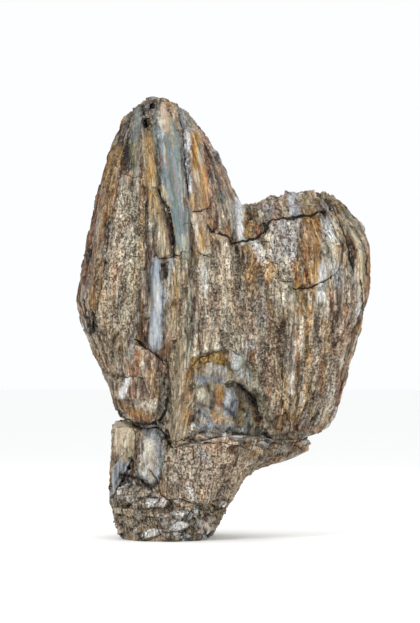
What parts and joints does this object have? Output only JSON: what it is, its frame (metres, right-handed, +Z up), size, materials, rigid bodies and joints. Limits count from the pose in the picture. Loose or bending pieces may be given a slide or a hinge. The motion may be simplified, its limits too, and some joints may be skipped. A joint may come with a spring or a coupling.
{
  "type": "petrified wood trunk",
  "caption": "Upright piece of petrified tree trunk, a tall splintery spire beside a lower rounded lobe, standing on a broken root block with a flat cut foot.",
  "frame": {"origin": "middle of the flat cut face under the root block", "axes": "+Z up along the grain, +X from the spire towards the lower lobe, -Y towards the viewer of the pictured face"},
  "size_m": [1.1626, 0.8165, 1.7522],
  "materials": {
    "trunk_stone": "rough silicified wood, ochre, tan, grey-blue and rust in vertical grain",
    "root_stone": "granular weathered stone, tan-pink and grey",
    "splinter_stone": "weathered grey splinter",
    "flake_stone": "broken flakes, tan to lilac-grey"
  },
  "bodies": {
    "root": {"trunk": "trunk_stone", "root_block": "root_stone", "splinter": "splinter_stone", "left_flake": "flake_stone", "right_chip": "flake_stone"}
  },
  "joints": []
}
